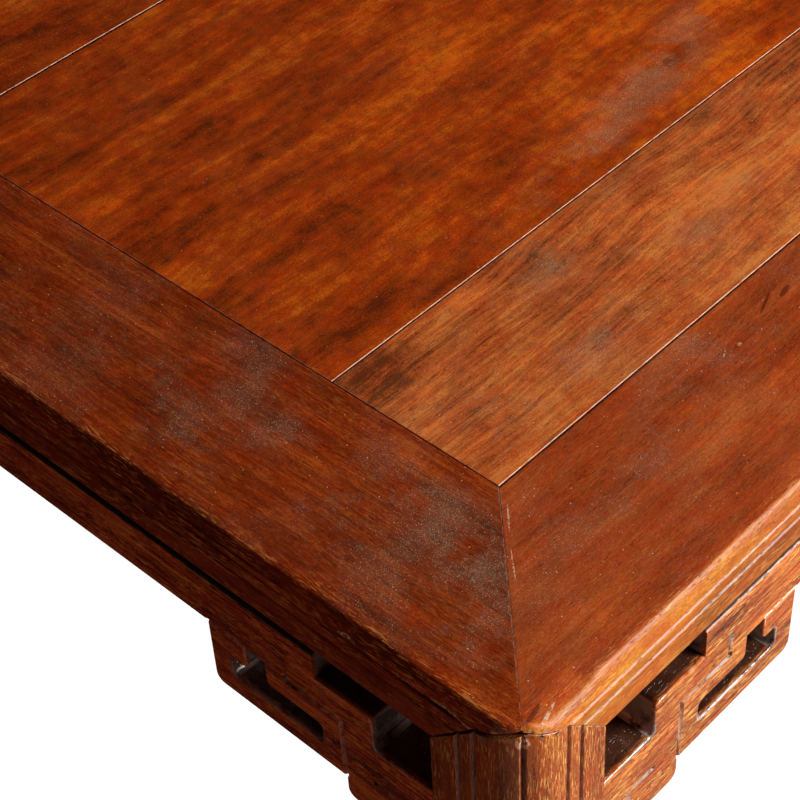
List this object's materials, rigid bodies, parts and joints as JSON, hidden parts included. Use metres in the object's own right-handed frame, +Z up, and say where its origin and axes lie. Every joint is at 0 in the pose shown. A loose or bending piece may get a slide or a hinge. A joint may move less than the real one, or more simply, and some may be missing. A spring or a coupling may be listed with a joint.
{
  "type": "square table",
  "caption": "Square hardwood table with a mitred, moulded top frame, floating boards, three-way mitred corners and stepped openwork fret brackets.",
  "frame": {"origin": "middle of the table at floor level", "axes": "+Z up; X along the boards and their grain, Y across them; the pictured corner is the one at -X, -Y"},
  "size_m": [1, 1, 0.83],
  "materials": {
    "frame_wood": "satin oiled dark red hardwood with brown dust haze",
    "narrow_board_wood": "satin oiled red-brown hardwood with a mottled figure",
    "wide_board_wood": "satin oiled orange-brown hardwood with dark streaks",
    "batten_wood": "plain planed hardwood",
    "leg_wood": "satin oiled red-orange hardwood",
    "apron_wood": "satin oiled red-orange hardwood",
    "fret_wood": "satin oiled red-orange hardwood"
  },
  "bodies": {
    "root": {"frame_front": "frame_wood", "frame_right": "frame_wood", "frame_back": "frame_wood", "frame_left": "frame_wood", "board_1": "narrow_board_wood", "board_2": "wide_board_wood", "board_3": "wide_board_wood", "board_4": "narrow_board_wood", "batten_left": "batten_wood", "batten_middle": "batten_wood", "batten_right": "batten_wood", "leg_front_left": "leg_wood", "leg_front_right": "leg_wood", "leg_back_right": "leg_wood", "leg_back_left": "leg_wood", "apron_front": "apron_wood", "apron_right": "apron_wood", "apron_back": "apron_wood", "apron_left": "apron_wood", "bracket_front_1": "fret_wood", "bracket_front_2": "fret_wood", "bracket_right_1": "fret_wood", "bracket_right_2": "fret_wood", "bracket_back_1": "fret_wood", "bracket_back_2": "fret_wood", "bracket_left_1": "fret_wood", "bracket_left_2": "fret_wood", "foot_front_1": "fret_wood", "foot_front_2": "fret_wood", "foot_right_1": "fret_wood", "foot_right_2": "fret_wood", "foot_back_1": "fret_wood", "foot_back_2": "fret_wood", "foot_left_1": "fret_wood", "foot_left_2": "fret_wood"}
  },
  "joints": []
}
